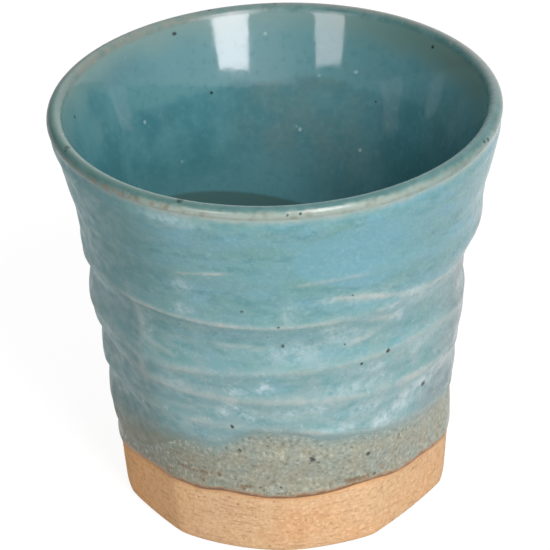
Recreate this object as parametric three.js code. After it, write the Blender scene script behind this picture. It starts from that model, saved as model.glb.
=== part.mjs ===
// A wheel-thrown stoneware shochu cup: a clay body with a knife-cut foot, a poured glaze lining
// and two dipped glaze coats outside. Millimetres, +Z up. The origin is the middle of the foot,
// on the surface that the cup stands on. Angles run round from the front, -Y, to the right, +X.
import * as THREE from "three";

// Overall sizes, over the glaze
const CUP_HEIGHT = 88.5;
const RIM_RADIUS = 47;
const FOOT_RADIUS = 34.4;
const LIP_FLARE = 4.5; // how far the lip curves out past the wall's straight taper
const FLARE_POWER = 4; // how late on the way up that curve comes
const LIP_DROP = 0.8; // how much lower the lip is on the left than on the right

// Clay
const LIP_THICKNESS = 2.6;
const WALL_THICKNESS = 7.5; // beside the floor; it thins towards the lip
const THINNING_POWER = 3.5; // how late on the way up the wall thins
const FLOOR_THICKNESS = 7.5;
const INNER_CORNER_RADIUS = 12; // between the floor and the wall
const FOOT_EDGE = 0.9; // worn edge round the standing face
const RECESS_RADIUS = 22; // trimmed hollow under the foot
const RECESS_DEPTH = 1.5;
const RECESS_SLOPE = 3; // width of the hollow's sloping edge

// Glaze
const FIRST_COAT = 0.35;
const SECOND_COAT = 0.7; // where it lies thick, between the throwing ridges
const SECOND_COAT_ON_RIDGES = 0.45; // where it runs thin
const SECOND_COAT_EDGE = 0.25; // at its two ends
const LINING = 0.6;
const LINING_POOL = 1.1; // in the middle of the floor

// The first coat stops at this height, and the ridges share out the wall from there to the lip
const GLAZE_LINE = 14;
const RIDGES_BELOW_SECOND_COAT = 1; // the second coat stops in the groove above these

// How far the glaze line and each throwing ridge above it lie from their even spacing, in parts of
// that spacing, at eight places round the cup: front, front right, right, and on round
const RIDGE_DRIFT = [
  [0.02, -0.1, -0.13, 0.1, 0.05, -0.06, -0.25, 0.06],
  [0.1, -0.18, -0.5, -0.23, -0.05, -0.16, -0.12, 0.0],
  [-0.08, -0.63, -0.85, -0.46, -0.1, -0.16, 0.0, 0.0],
  [-0.25, -0.44, -0.69, -0.36, -0.09, -0.2, 0.1, -0.2],
  [-0.42, -0.37, -0.54, -0.32, 0.0, -0.1, -0.37, -0.66],
  [-0.15, -0.03, -0.17, -0.08, -0.08, -0.19, 0.1, -0.14],
  [0.15, 0.08, 0.1, 0.1, -0.07, -0.19, 0.04, 0.2],
  [0.14, 0.14, 0.2, 0.12, -0.07, -0.18, -0.02, 0.09],
];
// Depth of the finger groove above each of those lines, where the lines are evenly spaced
const GROOVE_DEPTHS = [0.35, 0.6, 0.7, 0.6, 1.15, 0.4, 0.3, 0.2];

// The grooves are deepest low down on the right and high up on the left: how far from half-way, in
// parts of the groove's height
const GROOVE_LEAN = 0.2;

// How far each of those lines, and the lip, sits to the right of the axis
const RING_SHIFTS = [0, 0, 0, -0.1, -0.5, 0.5, 0.6, 0.2, 0];

// Dents and swellings that the hand left at the two sides: angle in degrees, height, half width in
// degrees, half height, and how far outwards the wall goes in the middle
const HAND_MARKS = [
  [80, 56.3, 26, 4, -1.95],
  [80, 63.2, 24, 2.2, 0.45],
  [84, 40.2, 24, 3.6, 0.55],
  [80, 32.6, 22, 3, -1.1],
  [80, 21.1, 20, 3.1, -1.35],
  [78, 70.1, 20, 4.1, -0.55],
  [-80, 57.4, 22, 2.4, 1.5],
  [-82, 39.6, 20, 2, -0.6],
  [-76, 79.4, 20, 3.4, -0.4],
  [-82, 28.6, 20, 3.1, -0.45],
  [-82, 69.9, 20, 2.6, -0.25],
];

// Knife-cut flats round the foot: the angle that each starts at, in degrees, and how much of a full
// flat it is. They turn a little on the way up, and die away in the wall
const FLAT_CORNERS = [0, 31, 74, 115, 155, 195, 240, 286, 320];
const FLATS = [0.4, 0.75, 0.2, 0.7, 0.6, 0.75, 0.1, 0.75, 0.25];
const FLAT_TURN = -10; // degrees over the height of the cup
const FLATS_END = 82; // height where the last of them is gone
const CORNER_WEAR = 0.007; // what is worn off the corner between two flats, in parts of the radius

// Faces
const FACE_ANGLE = 7; // of one face round the cup, about, in degrees
const LIP_STEPS = 4; // faces over the lip
const CORNER_STEPS = 3; // faces in the inner corner
const INNER_WALL_STEPS = 6;

// Sizes that follow from these
const clayRimRadius = RIM_RADIUS - FIRST_COAT - SECOND_COAT_EDGE;
const lipRadius = LIP_THICKNESS / 2;
const lipHeight = CUP_HEIGHT - FIRST_COAT - lipRadius; // middle of the round lip, and top of the wall
const lipMiddle = clayRimRadius - lipRadius;
const ridgeSpacing = (lipHeight - GLAZE_LINE) / RIDGE_DRIFT.length;
const cornerHeight = FLOOR_THICKNESS + INNER_CORNER_RADIUS;
const fullTurn = 2 * Math.PI;
const flatAngles = FLAT_CORNERS.map((corner, i) => (FLAT_CORNERS[i + 1] ?? 360) - corner);

// Angles of the columns of faces. Each flat is split evenly, so that every corner has a column
const columnAngles = [];
for (const [flat, corner] of FLAT_CORNERS.entries()) {
  const faces = Math.round(flatAngles[flat] / FACE_ANGLE);
  for (let face = 0; face < faces; face++) {
    columnAngles.push(THREE.MathUtils.degToRad(corner + (flatAngles[flat] * face) / faces));
  }
}
const segments = columnAngles.length;

// Outside of the clay wall before the grooves and flats are pressed into it
function wallRadius(height) {
  const climb = height / lipHeight;
  const taper = clayRimRadius - FOOT_RADIUS - LIP_FLARE;
  return FOOT_RADIUS + taper * climb + LIP_FLARE * climb ** FLARE_POWER;
}

// Inside of the clay wall
function hollowRadius(height) {
  const climb = (height - FLOOR_THICKNESS) / (lipHeight - FLOOR_THICKNESS);
  const thinning = (WALL_THICKNESS - LIP_THICKNESS) * climb ** THINNING_POWER;
  return wallRadius(height) - WALL_THICKNESS + thinning;
}

// A value given at even places round the cup, read smoothly at any angle
function roundTheCup(values, angle) {
  const count = values.length;
  const place = THREE.MathUtils.euclideanModulo(angle / fullTurn, 1) * count;
  const before = Math.floor(place);
  const [a, b, c, d] = [-1, 0, 1, 2].map((step) => values[(before + step + count) % count]);
  const t = place - before;
  const slope = c - a;
  const bend = 2 * a - 5 * b + 4 * c - d;
  const turn = 3 * (b - c) + d - a;
  return b + (t * (slope + t * (bend + t * turn))) / 2;
}

// Height of the glaze line (0), of a throwing ridge (1 and up) or of the lip (the last)
function lineHeight(line, angle) {
  const even = GLAZE_LINE + line * ridgeSpacing;
  if (line === RIDGE_DRIFT.length) return even;
  return even + ridgeSpacing * roundTheCup(RIDGE_DRIFT[line], angle);
}

// Depth of the knife-cut flat at one place on the wall
function flatDepth(angle, height) {
  const turn = FLAT_TURN * (height / CUP_HEIGHT);
  const place = THREE.MathUtils.euclideanModulo(THREE.MathUtils.radToDeg(angle) - turn, 360);
  const flat = FLAT_CORNERS.filter((corner) => corner <= place).length - 1;
  const half = THREE.MathUtils.degToRad(flatAngles[flat] / 2);
  const fromMiddle = THREE.MathUtils.degToRad(place - FLAT_CORNERS[flat]) - half;
  const cut = FLATS[flat] * (1 - Math.cos(half) / Math.cos(fromMiddle));
  const fade = 1 - THREE.MathUtils.smoothstep(height, GLAZE_LINE, FLATS_END);
  return wallRadius(height) * Math.hypot(cut, CORNER_WEAR) * fade;
}

// How far outwards the hand's dents and swellings move one place on the wall
function handMarks(angle, height) {
  const degrees = THREE.MathUtils.radToDeg(angle);
  return HAND_MARKS.reduce((sum, [middle, up, halfWidth, halfHeight, outwards]) => {
    const across = (THREE.MathUtils.euclideanModulo(degrees - middle + 180, 360) - 180) / halfWidth;
    return sum + outwards * Math.exp(-(across ** 2) - ((height - up) / halfHeight) ** 2);
  }, 0);
}

// Where the thrown wall's point ends up once the grooves, marks and flats are pressed in
function pressed(radius, height, angle) {
  if (height >= lipHeight) return [radius, height];
  const above = height - GLAZE_LINE;
  if (above < 0) {
    const footHeight = (height * lineHeight(0, angle)) / GLAZE_LINE;
    const shift = wallRadius(footHeight) - wallRadius(height);
    return [radius + shift - flatDepth(angle, footHeight), footHeight];
  }
  const line = Math.min(Math.floor(above / ridgeSpacing), RIDGE_DRIFT.length - 1);
  const t = above / ridgeSpacing - line;
  const low = lineHeight(line, angle);
  const gap = lineHeight(line + 1, angle) - low;
  const hollow = 4 * t * (1 - t); // 0 on a line, 1 half-way between two
  const newHeight = low + gap * (t - GROOVE_LEAN * Math.sin(angle) * hollow);
  const groove = GROOVE_DEPTHS[line] * (gap / ridgeSpacing) * hollow;
  const ringShift = THREE.MathUtils.lerp(RING_SHIFTS[line], RING_SHIFTS[line + 1], t);
  const shift = wallRadius(newHeight) - wallRadius(height) + ringShift * Math.sin(angle);
  const marks = handMarks(angle, newHeight);
  return [radius + shift - groove + marks - flatDepth(angle, newHeight), newHeight];
}

// How far a point sinks where the cup leans: nothing at the foot and on the right, most at the lip's left
function leanDrop(x, height) {
  const climb = height / CUP_HEIGHT;
  return (LIP_DROP * climb ** FLARE_POWER * (1 - x / RIM_RADIUS)) / 2;
}

// A solid turned from a closed profile of [radius, height, pressed or not]. Every face is split
// from its lower left to its upper right corner, so that two pieces through the same points meet
// in one surface
function turned(profile) {
  const points = profile.map(([radius, height]) => new THREE.Vector2(radius, height));
  const geometry = new THREE.LatheGeometry(points, segments);
  const position = geometry.getAttribute("position");
  const index = [];
  for (let i = 0; i <= segments; i++) {
    const angle = columnAngles[i % segments];
    for (let j = 0; j < profile.length; j++) {
      const [radius, height, isPressed] = profile[j];
      const [r, h] = isPressed ? pressed(radius, height, angle) : [radius, height];
      const x = r * Math.sin(angle);
      position.setXYZ(i * profile.length + j, x, h - leanDrop(x, h), r * Math.cos(angle));
    }
  }
  for (let i = 0; i < segments; i++) {
    for (let j = 0; j < profile.length - 1; j++) {
      const a = i * profile.length + j;
      const [b, c, d] = [a + profile.length, a + profile.length + 1, a + 1];
      if (points[j + 1].y > points[j].y) index.push(a, b, c, a, c, d);
      else index.push(a, b, d, b, c, d);
    }
  }
  geometry.setIndex(index);
  geometry.rotateX(Math.PI / 2);
  geometry.computeVertexNormals();
  return geometry;
}

// Heights on the wall where the profiles have points: each line and the middle of each groove
const grooveHeights = [];
for (let step = 0; step <= 2 * RIDGE_DRIFT.length; step++) {
  grooveHeights.push(GLAZE_LINE + (step * ridgeSpacing) / 2);
}
const secondCoatHeights = grooveHeights.slice(2 * RIDGES_BELOW_SECOND_COAT + 1);

// Points on the outside of the wall, a coat's thickness from the clay
function wallPoints(heights, thickness) {
  return heights.map((height) => [wallRadius(height) + thickness, height, true]);
}

// Points over the lip from one angle to another, counted from straight out to straight in
function lipPoints(from, to, thickness) {
  const points = [];
  const steps = Math.round((Math.abs(to - from) / Math.PI) * LIP_STEPS);
  for (let step = 1; step <= steps; step++) {
    const angle = from + ((to - from) * step) / steps;
    const radius = lipRadius + thickness;
    points.push([lipMiddle + radius * Math.cos(angle), lipHeight + radius * Math.sin(angle), false]);
  }
  return points;
}

// Points down the inner wall, round the corner and in to the axis
function hollowPoints(thickness, pool) {
  const points = [];
  for (let step = 1; step <= INNER_WALL_STEPS; step++) {
    const height = lipHeight + ((cornerHeight - lipHeight) * step) / INNER_WALL_STEPS;
    points.push([hollowRadius(height) - thickness, height, false]);
  }
  const cornerMiddle = hollowRadius(cornerHeight) - INNER_CORNER_RADIUS;
  const radius = INNER_CORNER_RADIUS - thickness;
  for (let step = 1; step <= CORNER_STEPS; step++) {
    const angle = ((Math.PI / 2) * step) / CORNER_STEPS;
    points.push([cornerMiddle + radius * Math.cos(angle), cornerHeight - radius * Math.sin(angle), false]);
  }
  points.push([0, FLOOR_THICKNESS + pool, false]);
  return points;
}

function clayBody() {
  return turned([
    [0, RECESS_DEPTH, false],
    [RECESS_RADIUS - RECESS_SLOPE, RECESS_DEPTH, false],
    [RECESS_RADIUS, 0, false],
    [FOOT_RADIUS - FOOT_EDGE, 0, true],
    ...wallPoints([FOOT_EDGE, GLAZE_LINE / 2], 0),
    ...wallPoints(grooveHeights, 0),
    ...lipPoints(0, Math.PI, 0),
    ...hollowPoints(0, 0),
  ]);
}

function linerGlaze() {
  const onClay = [...lipPoints(Math.PI / 2, Math.PI, 0), ...hollowPoints(0, 0)].reverse();
  const topOfLip = [lipMiddle, lipHeight + lipRadius, false];
  const topOfGlaze = [lipMiddle, CUP_HEIGHT, false];
  const free = [...lipPoints(Math.PI / 2, Math.PI, FIRST_COAT), ...hollowPoints(LINING, LINING_POOL)];
  return turned([...onClay, topOfLip, topOfGlaze, ...free]);
}

function firstGlazeCoat() {
  const outside = [...wallPoints(grooveHeights, FIRST_COAT), ...lipPoints(0, Math.PI / 2, FIRST_COAT)];
  const onClay = [...wallPoints(grooveHeights, 0), ...lipPoints(0, Math.PI / 2, 0)].reverse();
  return turned([...outside, ...onClay, outside[0]]);
}

function secondGlazeCoat() {
  const last = secondCoatHeights.length - 1;
  const outside = secondCoatHeights.map((height, i) => {
    const between = i % 2 === 0 ? SECOND_COAT : SECOND_COAT_ON_RIDGES;
    const thickness = i === 0 || i === last ? SECOND_COAT_EDGE : between;
    return [wallRadius(height) + FIRST_COAT + thickness, height, true];
  });
  const onFirstCoat = wallPoints(secondCoatHeights, FIRST_COAT).reverse();
  return turned([...outside, ...onFirstCoat, outside[0]]);
}

function finish(colour, roughness) {
  return new THREE.MeshStandardMaterial({ color: colour, roughness, metalness: 0 });
}

const pieces = [
  ["clay_body", clayBody(), finish(0xd9b083, 0.85)],
  ["liner_glaze", linerGlaze(), finish(0x6f9ea4, 0.15)],
  ["first_glaze_coat", firstGlazeCoat(), finish(0x9fa394, 0.35)],
  ["second_glaze_coat", secondGlazeCoat(), finish(0x86b0b5, 0.2)],
];

const cup = new THREE.Group();
cup.name = "shochu_cup";
for (const [name, geometry, material] of pieces) {
  const mesh = new THREE.Mesh(geometry, material);
  mesh.name = name;
  cup.add(mesh);
}

export default cup;
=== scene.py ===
# %% [markdown]
# # A wheel-thrown shochu cup
# The cup is stoneware: one thrown and trimmed clay body, a glaze lining that was poured inside, and
# two coats of glaze that were dipped one over the other outside. The CAD frame holds those four
# pieces at their real size. Here each one is turned again as a finer mesh, because the looks of a
# handmade cup are in its small marks: finger ridges, knife cuts, pooled glaze and iron specks.

# %% Load the frame
import math

import bpy
import numpy as np
from mathutils import Matrix, Vector, noise


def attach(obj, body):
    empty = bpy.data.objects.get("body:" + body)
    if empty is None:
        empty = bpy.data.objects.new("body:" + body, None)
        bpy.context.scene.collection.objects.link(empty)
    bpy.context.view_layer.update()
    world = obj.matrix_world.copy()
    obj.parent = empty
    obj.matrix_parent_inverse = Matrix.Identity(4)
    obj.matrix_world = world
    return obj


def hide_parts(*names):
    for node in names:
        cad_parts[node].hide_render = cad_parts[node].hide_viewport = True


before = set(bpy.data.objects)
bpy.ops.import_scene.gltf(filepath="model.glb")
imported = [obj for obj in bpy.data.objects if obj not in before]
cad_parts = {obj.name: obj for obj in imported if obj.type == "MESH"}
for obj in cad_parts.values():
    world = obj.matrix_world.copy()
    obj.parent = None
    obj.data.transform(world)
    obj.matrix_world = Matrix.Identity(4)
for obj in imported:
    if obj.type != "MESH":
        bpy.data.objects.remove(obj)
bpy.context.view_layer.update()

# %% [markdown]
# ## Sizes of the thrown cup
# A cup that comes off the wheel is a body of revolution, so a few radii and heights give its plain
# form. They repeat the frame's sizes, in metres, because the frame holds flat facets and this lesson
# needs the curves behind them.

# %% Sizes
MM = 0.001
CUP_HEIGHT = 88.5 * MM
RIM_RADIUS = 47 * MM
FOOT_RADIUS = 34.4 * MM
LIP_FLARE = 4.5 * MM
FLARE_POWER = 4
LIP_DROP = 0.8 * MM  # how much lower the lip is on the left than on the right

LIP_THICKNESS = 2.6 * MM
WALL_THICKNESS = 7.5 * MM
THINNING_POWER = 3.5
FLOOR_THICKNESS = 7.5 * MM
INNER_CORNER_RADIUS = 12 * MM
FOOT_EDGE = 0.9 * MM
RECESS_RADIUS = 22 * MM
RECESS_DEPTH = 1.5 * MM
RECESS_SLOPE = 3 * MM

FIRST_COAT = 0.35 * MM
SECOND_COAT = 0.7 * MM
SECOND_COAT_ON_RIDGES = 0.45 * MM
SECOND_COAT_EDGE = 0.25 * MM  # in the frame, at its two ends
LINING = 0.6 * MM
LINING_POOL = 1.1 * MM
THIN_EDGE = 0.06 * MM  # a coat's thickness where it runs out

clay_rim = RIM_RADIUS - FIRST_COAT - SECOND_COAT_EDGE
lip_radius = LIP_THICKNESS / 2
lip_height = CUP_HEIGHT - FIRST_COAT - lip_radius
lip_middle = clay_rim - lip_radius
corner_height = FLOOR_THICKNESS + INNER_CORNER_RADIUS
print("lip's round middle at", round(lip_height / MM, 2), "mm up")

# %% [markdown]
# ## The plain wall
# Outside, the wall tapers out in a straight line and then flares at the lip. Inside, it follows the
# outside but thins towards the lip. Two short formulas say this better than a traced outline would,
# and every piece can ask them for a radius at any height.

# %% Radii of the plain wall


def wall_radius(height):
    rise = height / lip_height
    taper = clay_rim - FOOT_RADIUS - LIP_FLARE
    return FOOT_RADIUS + taper * rise + LIP_FLARE * rise**FLARE_POWER


def hollow_radius(height):
    rise = np.maximum(height - FLOOR_THICKNESS, 0) / (lip_height - FLOOR_THICKNESS)
    thinning = (WALL_THICKNESS - LIP_THICKNESS) * rise**THINNING_POWER
    return wall_radius(height) - WALL_THICKNESS + thinning


for height in (0, corner_height, lip_height):
    outside, inside = wall_radius(height), hollow_radius(height)
    print(f"at {height / MM:5.1f} mm: outside {outside / MM:.1f}, inside {inside / MM:.1f} mm")

# %% [markdown]
# ## Finger ridges
# The potter's fingers left seven soft ridges that wander round the wall, with a shallow groove above
# each. Angles run from the front, -Y, to the right, +X. The drift of each ridge is given at eight
# places round the cup, as a share of the ridges' spacing, and read smoothly between them. For any
# point of the wall, a helper then says which groove it lies in and how far up.

# %% Ridges and grooves
GLAZE_LINE = 14 * MM
RIDGE_DRIFT = [
    [0.02, -0.1, -0.13, 0.1, 0.05, -0.06, -0.25, 0.06],
    [0.1, -0.18, -0.5, -0.23, -0.05, -0.16, -0.12, 0.0],
    [-0.08, -0.63, -0.85, -0.46, -0.1, -0.16, 0.0, 0.0],
    [-0.25, -0.44, -0.69, -0.36, -0.09, -0.2, 0.1, -0.2],
    [-0.42, -0.37, -0.54, -0.32, 0.0, -0.1, -0.37, -0.66],
    [-0.15, -0.03, -0.17, -0.08, -0.08, -0.19, 0.1, -0.14],
    [0.15, 0.08, 0.1, 0.1, -0.07, -0.19, 0.04, 0.2],
    [0.14, 0.14, 0.2, 0.12, -0.07, -0.18, -0.02, 0.09],
]
GROOVE_LEAN = 0.2  # a groove is deepest lower down on the right, and higher up on the left
ridge_spacing = (lip_height - GLAZE_LINE) / len(RIDGE_DRIFT)


def round_the_cup(values, angle):
    count = len(values)
    place = np.mod(angle / (2 * np.pi), 1) * count
    before = np.floor(place).astype(int)
    a, b, c, d = (np.take(values, (before + step) % count) for step in (-1, 0, 1, 2))
    t = place - before
    bend = 2 * a - 5 * b + 4 * c - d
    turn = 3 * (b - c) + d - a
    return b + t * (c - a + t * (bend + t * turn)) / 2


def line_heights(angle):
    lines = [GLAZE_LINE + ridge_spacing * (line + round_the_cup(drift, angle))
             for line, drift in enumerate(RIDGE_DRIFT)]
    return np.array([*lines, np.full_like(angle, lip_height)])


def groove_place(angle, height):
    """The groove that a point lies in, how far up it (0 to 1) and the groove's height."""
    lines = line_heights(angle)
    groove = np.clip((lines < height).sum(axis=0) - 1, 0, len(RIDGE_DRIFT) - 1)
    low = np.take_along_axis(lines, groove[None], axis=0)[0]
    gap = np.take_along_axis(lines, groove[None] + 1, axis=0)[0] - low
    climbed = np.clip((height - low) / gap, 0, 1)
    lean = 4 * GROOVE_LEAN * np.sin(angle)
    t = 2 * climbed / (1 - lean + np.sqrt((1 - lean) ** 2 + 4 * lean * climbed))
    return groove, t, gap


heights_in_front = line_heights(np.zeros(1))[:, 0] / MM
print("lines up the front, in mm:", heights_in_front.round(1))

# %% [markdown]
# ## Knife cuts and dents
# A knife cut flats round the foot, which fade out up the wall. The hand also left a few dents and
# swellings at the two sides, where a finger pressed harder or was lifted. Both could be sculpted, but
# written as a depth at an angle and a height they move every piece that lies on the wall.

# %% Flats and dents
FLAT_CORNERS = np.array([0, 31, 74, 115, 155, 195, 240, 286, 320])  # degrees, at the foot
FLATS = np.array([0.4, 0.75, 0.2, 0.7, 0.6, 0.75, 0.1, 0.75, 0.25])  # how much of a full flat each is
FLAT_TURN = -10  # degrees over the height of the cup
FLATS_END = 82 * MM
CORNER_WEAR = 0.007  # of the wall's radius
flat_angles = np.diff([*FLAT_CORNERS, 360])
HAND_MARKS = [  # degrees, mm up, half width in degrees, half height in mm, mm outwards
    (80, 56.3, 26, 4, -1.95), (80, 63.2, 24, 2.2, 0.45), (84, 40.2, 24, 3.6, 0.55),
    (80, 32.6, 22, 3, -1.1), (80, 21.1, 20, 3.1, -1.35), (78, 70.1, 20, 4.1, -0.55),
    (-80, 57.4, 22, 2.4, 1.5), (-82, 39.6, 20, 2, -0.6), (-76, 79.4, 20, 3.4, -0.4),
    (-82, 28.6, 20, 3.1, -0.45), (-82, 69.9, 20, 2.6, -0.25),
]


def smooth_step(value, low, high):
    t = np.clip((value - low) / (high - low), 0, 1)
    return t * t * (3 - 2 * t)


def flat_depth(angle, height):
    place = np.mod(np.degrees(angle) - FLAT_TURN * height / CUP_HEIGHT, 360)
    flat = np.searchsorted(FLAT_CORNERS, place, side="right") - 1
    half = np.radians(flat_angles[flat] / 2)
    from_middle = np.radians(place - FLAT_CORNERS[flat]) - half
    cut = FLATS[flat] * (1 - np.cos(half) / np.cos(from_middle))
    kept = 1 - smooth_step(height, GLAZE_LINE, FLATS_END)
    return wall_radius(height) * np.hypot(cut, CORNER_WEAR) * kept


def patch(angle, height, degrees, up, half_width, half_height):
    """A soft oval on the wall: 1 in its middle and 0 well outside."""
    across = (np.mod(np.degrees(angle) - degrees + 180, 360) - 180) / half_width
    return np.exp(-(across**2) - ((height / MM - up) / half_height) ** 2)


def hand_marks(angle, height):
    return sum(outwards * MM * patch(angle, height, *oval) for *oval, outwards in HAND_MARKS)


print(len(FLATS), "flats round the foot, with", len(HAND_MARKS), "dents and swellings above them")

# %% [markdown]
# ## Lines and noise on the wall
# Potters' lines are soft and uneven, so the next steps need three small tools: noise that can be read
# at any place on the wall, a bell curve for the slope beside a line, and a line that is drawn through a
# few points and rounded at its corners.

# %% Helpers for lines on the wall
LINE_BLUR = (-3, -1, 1, 3)  # rounds the corners of a drawn line


def unit_noise(angle, height, size):
    """Smooth noise from -1 to 1 on the wall, in lumps of the given size."""
    across = np.sin(angle) * FOOT_RADIUS / size
    along = -np.cos(angle) * FOOT_RADIUS / size
    points = zip(across, along, height / size)
    return np.array([noise.noise(point) for point in points])


def bell(off, width):
    return np.exp(-((off / width) ** 2))


def drawn_line(points, place):
    """Reads a line of (place, value) points, rounded at its corners."""
    places, values = zip(*points)
    return sum(np.interp(place + step, places, values) for step in LINE_BLUR) / len(LINE_BLUR)


print("a drawn peak of 1 is rounded to", drawn_line([(0, 0), (10, 1), (20, 0)], 10))

# %% [markdown]
# ## Sharp crests and short ridges
# Where a crest is crisp, the glaze ran off it and the pale clay shows as a thin line; that pale line also
# holds a painted highlight, where the crest catches the light. The long ridges show it more on one side
# of the cup than on another. Between them are short ridges, where a finger was lifted or skipped: each
# is a few points, in degrees round from the front and millimetres up, and fades at its ends. A
# knife-cut edge also climbs the wall at the left. The distance to a line gives both a small raised bead
# for the mesh and, later, a mask for the glaze's colour.

# %% Crest lines
CREST_SHOWN = [  # for each long line, at eight places round the cup
    [0.0, 0.0, 0.0, 0.0, 0.0, 0.0, 0.0, 0.0],
    [0.0, 0.1, 0.2, 0.1, 0.0, 0.2, 0.1, 0.0],
    [0.65, 0.5, 0.3, 0.4, 0.5, 0.4, 0.15, 0.35],
    [0.85, 0.85, 0.5, 0.4, 0.5, 0.5, 0.2, 0.45],
    [0.4, 0.5, 0.3, 0.4, 0.5, 0.4, 0.2, 0.5],
    [0.85, 0.35, 0.5, 0.6, 0.5, 0.7, 0.3, 0.85],
    [0.0, 0.1, 0.1, 0.2, 0.4, 0.1, 0.2, 0.1],
    [0.0, 0.0, 0.1, 0.2, 0.1, 0.0, 0.1, 0.0],
    [0.0, 0.0, 0.0, 0.0, 0.0, 0.0, 0.0, 0.0],
]
CREST_WIDTHS = np.array([0.4, 0.6, 0.85, 1.0, 0.75, 0.5, 0.5, 0.5, 0.4]) * MM
CREST_BEAD = 0.12 * MM
SHORT_RIDGES = [  # strength, width in mm, points
    (0.8, 0.75, [(12, 64.6), (18, 64), (23, 63.6), (29, 62.4), (36, 60.6), (42, 59.5), (52, 59.2),
                 (62, 58.2), (74, 56.8)]),
    (0.7, 0.8, [(8, 57.9), (14, 58.7), (20, 58.7), (27, 56.8), (34, 55.2), (41, 54.6)]),
    (0.5, 0.85, [(16, 50.6), (20, 51.3), (26, 52.2), (33, 52.8)]),
    (0.8, 0.4, [(-32, 69.6), (-27, 70.1), (-20, 71.2), (-11, 72)]),
    (0.45, 0.5, [(2, 68.5), (9, 69.2), (17, 69.5), (27, 69.2)]),
    (0.5, 0.5, [(-54, 51), (-46, 49.2), (-38, 48.2), (-31, 46.6)]),
    (0.4, 0.6, [(-24, 52), (-12, 52.6), (-2, 52.2)]),
    (0.5, 0.6, [(30, 28.6), (40, 26.6), (52, 25.2), (64, 24.6)]),
    (0.5, 0.4, [(116, 52), (130, 54), (147, 53.4)]),
    (0.6, 0.4, [(-152, 66), (-138, 67.5), (-118, 66.8)]),
    (0.5, 0.45, [(163, 41), (178, 43), (196, 42.6)]),
    (0.5, 0.4, [(-107, 38), (-96, 40.6), (-82, 41)]),
]
RIDGE_FADE = 7  # degrees over which a short ridge runs out
KNIFE_EDGE = [(33, -49), (44, -47.5), (54, -47), (63, -49.5)]  # millimetres up, degrees
KNIFE_EDGE_WIDTH = 1.1 * MM
KNIFE_EDGE_SHOWN = 0.4
KNIFE_EDGE_FADE = 8  # millimetres over which it runs out
KNIFE_EDGE_PAST = 2  # how far it goes on past its last point
WEAR_SIZE = 7 * MM  # of the patches where a crest is worn away
FINE_WEAR_SIZE = 2.5 * MM
LEAST_SHOWN = 0.4  # of a crest, where it is most worn


def short_ridge(angle, height, points, width):
    first, last = points[0][0], points[-1][0]
    middle = (first + last) / 2
    degrees = np.mod(np.degrees(angle) - middle + 180, 360) - 180 + middle
    ends = smooth_step(degrees, first, first + RIDGE_FADE)
    ends = ends * smooth_step(degrees, last, last - RIDGE_FADE)
    return ends * bell(height - drawn_line(points, degrees) * MM, width * MM)


def knife_edge(angle, height):
    up = height / MM
    off = np.radians(np.degrees(angle) - drawn_line(KNIFE_EDGE, up)) * wall_radius(height)
    low, high = KNIFE_EDGE[0][0], KNIFE_EDGE[-1][0] + KNIFE_EDGE_PAST
    shown = smooth_step(up, low, low + KNIFE_EDGE_FADE) * smooth_step(up, high, high - KNIFE_EDGE_FADE)
    return KNIFE_EDGE_SHOWN * shown * bell(off, KNIFE_EDGE_WIDTH)


def crest(angle, height):
    """How clearly a crest line shows: 1 on a sharp one and 0 away from it."""
    groove, t, gap = groove_place(angle, height)
    line = groove + (t > 0.5)
    off = np.minimum(t, 1 - t) * gap
    strengths = np.array([round_the_cup(shown, angle) for shown in CREST_SHOWN])
    strength = np.take_along_axis(strengths, line[None], axis=0)[0]
    shown = strength * bell(off, CREST_WIDTHS[line])
    for strength, width, points in SHORT_RIDGES:
        shown = np.maximum(shown, strength * short_ridge(angle, height, points, width))
    patches = unit_noise(angle, height, WEAR_SIZE) + unit_noise(angle, height, FINE_WEAR_SIZE) / 2
    left_over = LEAST_SHOWN + (1 - LEAST_SHOWN) * smooth_step(patches, -0.6, 0.4)
    return np.maximum(shown, knife_edge(angle, height)) * left_over


print(len(SHORT_RIDGES), "short ridges beside", len(RIDGE_DRIFT) - 1, "long ones")

# %% [markdown]
# ## The clay's outer surface
# Adding it all up gives the one formula that the clay and both outer coats share: the plain wall,
# moved by the grooves, the flats, the crests and a slow unevenness of the hand. Because all three
# pieces read the same formula, a coat always lies on what it covers.

# %% Outer surface of the clay
GROOVE_DEPTHS = np.array([0.35, 0.6, 0.7, 0.6, 1.15, 0.4, 0.3, 0.2]) * MM
RING_SHIFTS = np.array([0, 0, 0, -0.1, -0.5, 0.5, 0.6, 0.2, 0]) * MM  # to the right
CREST_ROUND = 0.35 * MM  # the fingers left no sharp crest
HAND_WOBBLE = 0.16 * MM
WOBBLE_SIZE = 11 * MM
WOBBLE_START = 2 * MM  # the foot was trimmed true below this
WOBBLE_FULL = 10 * MM
WOBBLE_END = 8 * MM  # below the lip, where it starts to run out


def clay_surface(angle, height):
    groove, t, gap = groove_place(angle, height)
    off_crest = np.minimum(t, 1 - t)
    rounding = CREST_ROUND / gap
    off_crest = np.sqrt(off_crest**2 + rounding**2) - rounding
    hollow = 4 * off_crest * (1 - off_crest)
    depth = GROOVE_DEPTHS[groove] * gap / ridge_spacing * hollow
    shift = RING_SHIFTS[groove] * (1 - t) + RING_SHIFTS[groove + 1] * t
    wobble = HAND_WOBBLE * unit_noise(angle, height, WOBBLE_SIZE)
    wobble = wobble * smooth_step(height, WOBBLE_START, WOBBLE_FULL)
    wobble = wobble * smooth_step(height, lip_height, lip_height - WOBBLE_END)
    bead = CREST_BEAD * crest(angle, height)
    surface = wall_radius(height) + shift * np.sin(angle) - depth - flat_depth(angle, height)
    return surface + hand_marks(angle, height) + wobble + bead


def lean_drop(x, height):
    return LIP_DROP * (height / CUP_HEIGHT) ** FLARE_POWER * (1 - x / RIM_RADIUS) / 2


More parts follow.
